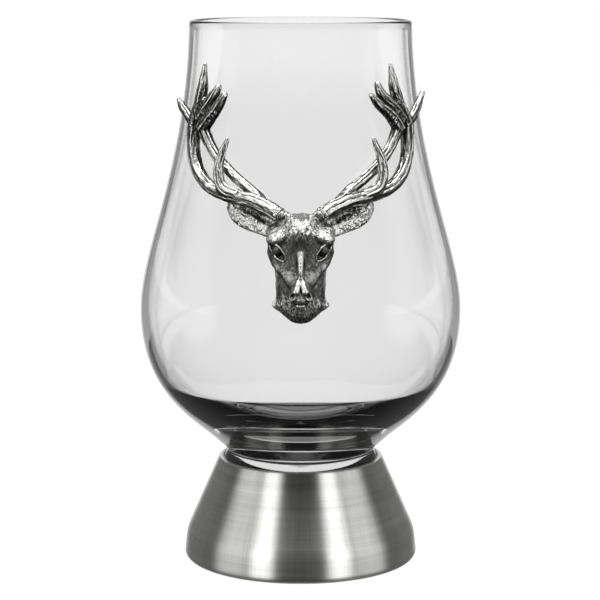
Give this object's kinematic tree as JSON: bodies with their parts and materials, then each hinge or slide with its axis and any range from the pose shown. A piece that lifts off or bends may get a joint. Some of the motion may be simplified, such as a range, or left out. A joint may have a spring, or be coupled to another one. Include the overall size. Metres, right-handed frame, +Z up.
{
  "type": "whisky nosing glass",
  "caption": "Clear tulip-shaped whisky glass in a satin spun metal foot, with a cast stag's head and branched antlers fixed to the front of the bowl.",
  "frame": {"origin": "on the table, in the middle of the standing face under the foot, on the axis of the glass", "axes": "+Z up the axis of the glass, -Y the way the stag faces, +X to the right as the stag is looked at"},
  "size_m": [0.067, 0.0759, 0.113],
  "materials": {
    "crystal": "clear, fire-polished",
    "satin_metal": "satin, brushed round the foot",
    "pewter": "cast pewter, blackened in the recesses and polished on the high places",
    "solder": "soft solder",
    "adhesive": "clear adhesive"
  },
  "bodies": {
    "root": {"crystal_glass": "crystal", "foot_shell": "satin_metal", "foot_film_bond": "adhesive", "stag_head": "pewter", "neck_bond": "adhesive", "left_antler": "pewter", "right_antler": "pewter", "antler_solder": "solder", "antler_dabs": "adhesive"}
  },
  "joints": []
}
